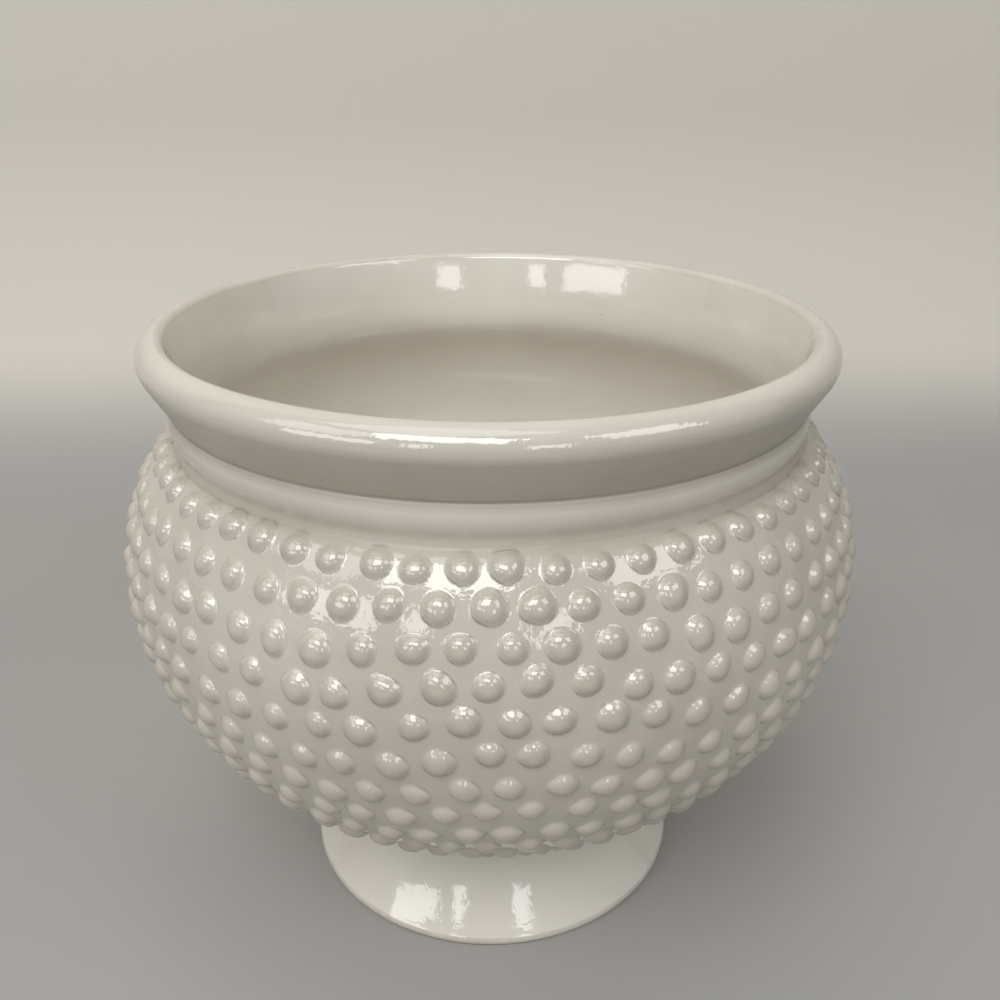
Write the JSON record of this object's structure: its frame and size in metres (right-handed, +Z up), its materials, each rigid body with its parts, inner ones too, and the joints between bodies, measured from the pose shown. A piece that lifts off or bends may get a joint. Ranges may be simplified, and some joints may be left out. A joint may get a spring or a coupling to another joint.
{
  "type": "pedestal planter",
  "caption": "Round glazed-ceramic planter: a full bowl studded with rows of small domed bosses, with a short neck, a thick rolled rim and a flared hollow foot.",
  "frame": {"origin": "centre of the ring that the foot stands on, at ground level", "axes": "+Z up along the pot's axis; X and Y are equal, and the picture looks along +Y"},
  "size_m": [0.3117, 0.3116, 0.2611],
  "materials": {
    "white_glaze": "gloss"
  },
  "bodies": {
    "root": {"bowl": "white_glaze", "neck_collar": "white_glaze", "rolled_rim": "white_glaze", "pedestal_foot": "white_glaze", "hobnail_row_01": "white_glaze", "hobnail_row_02": "white_glaze", "hobnail_row_03": "white_glaze", "hobnail_row_04": "white_glaze", "hobnail_row_05": "white_glaze", "hobnail_row_06": "white_glaze", "hobnail_row_07": "white_glaze", "hobnail_row_08": "white_glaze", "hobnail_row_09": "white_glaze", "hobnail_row_10": "white_glaze", "hobnail_row_11": "white_glaze", "hobnail_row_12": "white_glaze", "hobnail_row_13": "white_glaze", "hobnail_row_14": "white_glaze"}
  },
  "joints": []
}
